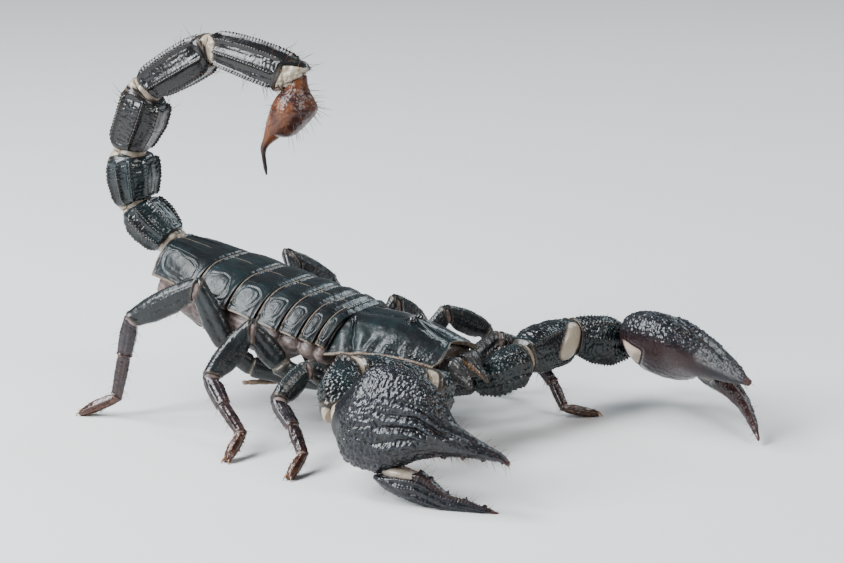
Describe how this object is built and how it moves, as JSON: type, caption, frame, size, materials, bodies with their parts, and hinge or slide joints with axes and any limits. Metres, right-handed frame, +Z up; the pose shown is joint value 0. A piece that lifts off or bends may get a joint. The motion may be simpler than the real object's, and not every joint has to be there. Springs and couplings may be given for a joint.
{
  "type": "emperor scorpion",
  "caption": "Life-size still model of an emperor scorpion, standing with its claws forward and its tail curled over its back.",
  "frame": {"origin": "on the floor, under the middle of the model's bounding box", "axes": "+X the way the head faces, +Y the animal's left side, +Z up"},
  "size_m": [0.1222, 0.08, 0.0692],
  "materials": {
    "shell": "glossy blue-black shell with a green tint and fine grain",
    "leg_shell": "glossy green-black, brown towards the feet",
    "claw_shell": "glossy black, covered in fused round granules",
    "membrane": "finely wrinkled grey-brown skin",
    "venom": "glossy red-brown with low bumps",
    "sting": "glossy dark red running to black",
    "eye": "polished black",
    "comb": "matt cream",
    "bristle": "stiff red-brown hairs"
  },
  "bodies": {
    "root": {"trunk": "membrane", "tergite_1": "shell", "tergite_2": "shell", "tergite_3": "shell", "tergite_4": "shell", "tergite_5": "shell", "tergite_6": "shell", "tergite_7": "shell", "carapace": "shell", "head_underside": "membrane", "median_eye_right": "eye", "chelicera_right": "shell", "pecten_right": "comb", "median_eye_left": "eye", "chelicera_left": "shell", "pecten_left": "comb", "tail_segment_1": "shell", "tail_segment_2": "shell", "tail_segment_3": "shell", "tail_segment_4": "shell", "tail_segment_5": "shell", "telson_vesicle": "venom", "sting": "sting", "right_leg_1_femur": "leg_shell", "right_leg_1_patella": "leg_shell", "right_leg_1_foot": "leg_shell", "right_leg_2_femur": "leg_shell", "right_leg_2_patella": "leg_shell", "right_leg_2_foot": "leg_shell", "right_leg_3_femur": "leg_shell", "right_leg_3_patella": "leg_shell", "right_leg_3_foot": "leg_shell", "right_leg_4_femur": "leg_shell", "right_leg_4_patella": "leg_shell", "right_leg_4_foot": "leg_shell", "right_arm_base": "shell", "right_arm_femur": "shell", "right_arm_patella": "shell", "right_claw_hand": "claw_shell", "right_claw_finger": "claw_shell", "left_leg_1_femur": "leg_shell", "left_leg_1_patella": "leg_shell", "left_leg_1_foot": "leg_shell", "left_leg_2_femur": "leg_shell", "left_leg_2_patella": "leg_shell", "left_leg_2_foot": "leg_shell", "left_leg_3_femur": "leg_shell", "left_leg_3_patella": "leg_shell", "left_leg_3_foot": "leg_shell", "left_leg_4_femur": "leg_shell", "left_leg_4_patella": "leg_shell", "left_leg_4_foot": "leg_shell", "left_arm_base": "shell", "left_arm_femur": "shell", "left_arm_patella": "shell", "left_claw_hand": "claw_shell", "left_claw_finger": "claw_shell"}
  },
  "joints": []
}
